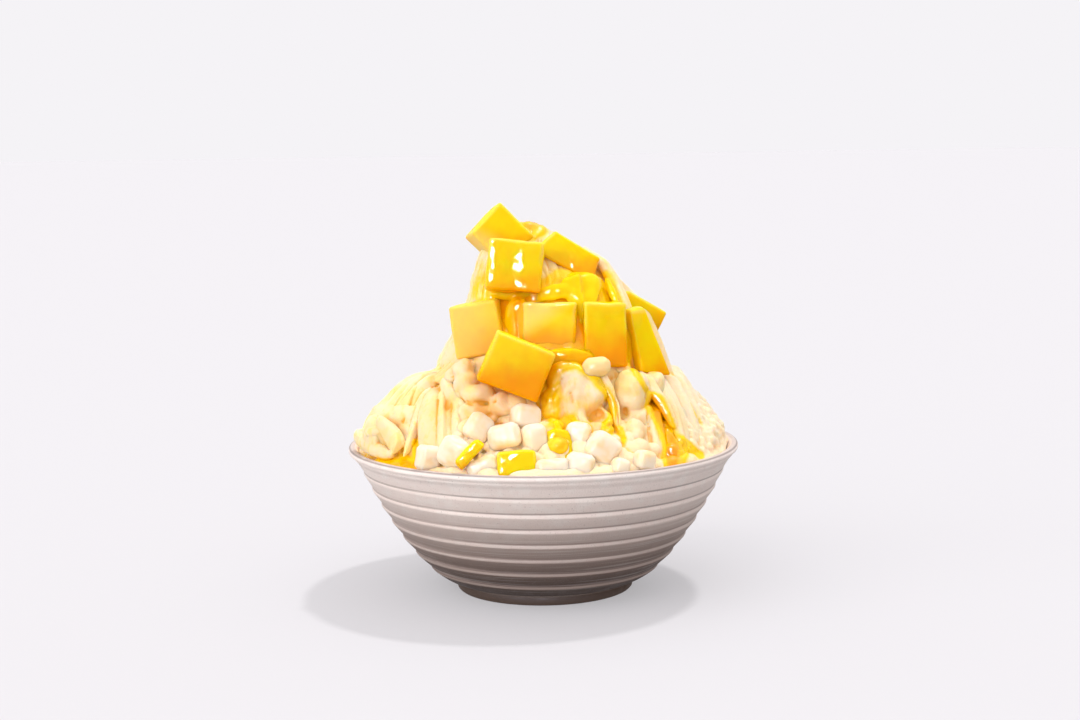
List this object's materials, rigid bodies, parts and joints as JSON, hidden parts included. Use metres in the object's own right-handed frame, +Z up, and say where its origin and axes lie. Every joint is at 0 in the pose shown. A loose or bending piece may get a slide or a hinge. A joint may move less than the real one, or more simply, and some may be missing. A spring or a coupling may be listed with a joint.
{
  "type": "mango shaved ice dessert",
  "caption": "Tall mound of folded cream snow ice with mango cubes, coconut jelly and mango sauce, served in a grey ribbed bowl.",
  "frame": {"origin": "centre of the bowl's foot, on the table", "axes": "+Z up along the bowl's turning axis; the front of the serving, with the jelly and the large mango cubes, faces -Y"},
  "size_m": [0.18, 0.18, 0.178],
  "materials": {
    "bowl": "matte",
    "snow_ice": "satin",
    "mango": "gloss",
    "jelly": "gloss",
    "pearl": "gloss"
  },
  "bodies": {
    "root": {"bowl": "bowl", "shaved_ice": "snow_ice", "mango_cube_01": "mango", "mango_cube_02": "mango", "mango_cube_03": "mango", "mango_cube_04": "mango", "mango_cube_05": "mango", "mango_cube_06": "mango", "mango_cube_07": "mango", "mango_cube_08": "mango", "mango_cube_09": "mango", "mango_cube_10": "mango", "mango_cube_11": "mango", "mango_cube_12": "mango", "mango_cube_13": "mango", "mango_cube_14": "mango", "mango_bit_01": "mango", "mango_bit_02": "mango", "mango_bit_03": "mango", "coconut_jelly_01": "jelly", "coconut_jelly_02": "jelly", "coconut_jelly_03": "jelly", "coconut_jelly_04": "jelly", "coconut_jelly_05": "jelly", "coconut_jelly_06": "jelly", "coconut_jelly_07": "jelly", "coconut_jelly_08": "jelly", "coconut_jelly_09": "jelly", "coconut_jelly_10": "jelly", "coconut_jelly_11": "jelly", "coconut_jelly_12": "jelly", "coconut_jelly_13": "jelly", "coconut_jelly_14": "jelly", "coconut_jelly_15": "jelly", "coconut_jelly_16": "jelly", "coconut_jelly_17": "jelly", "coconut_jelly_18": "jelly", "coconut_jelly_19": "jelly", "coconut_jelly_20": "jelly", "coconut_jelly_21": "jelly", "mango_pearl_01": "pearl", "mango_pearl_02": "pearl"}
  },
  "joints": []
}
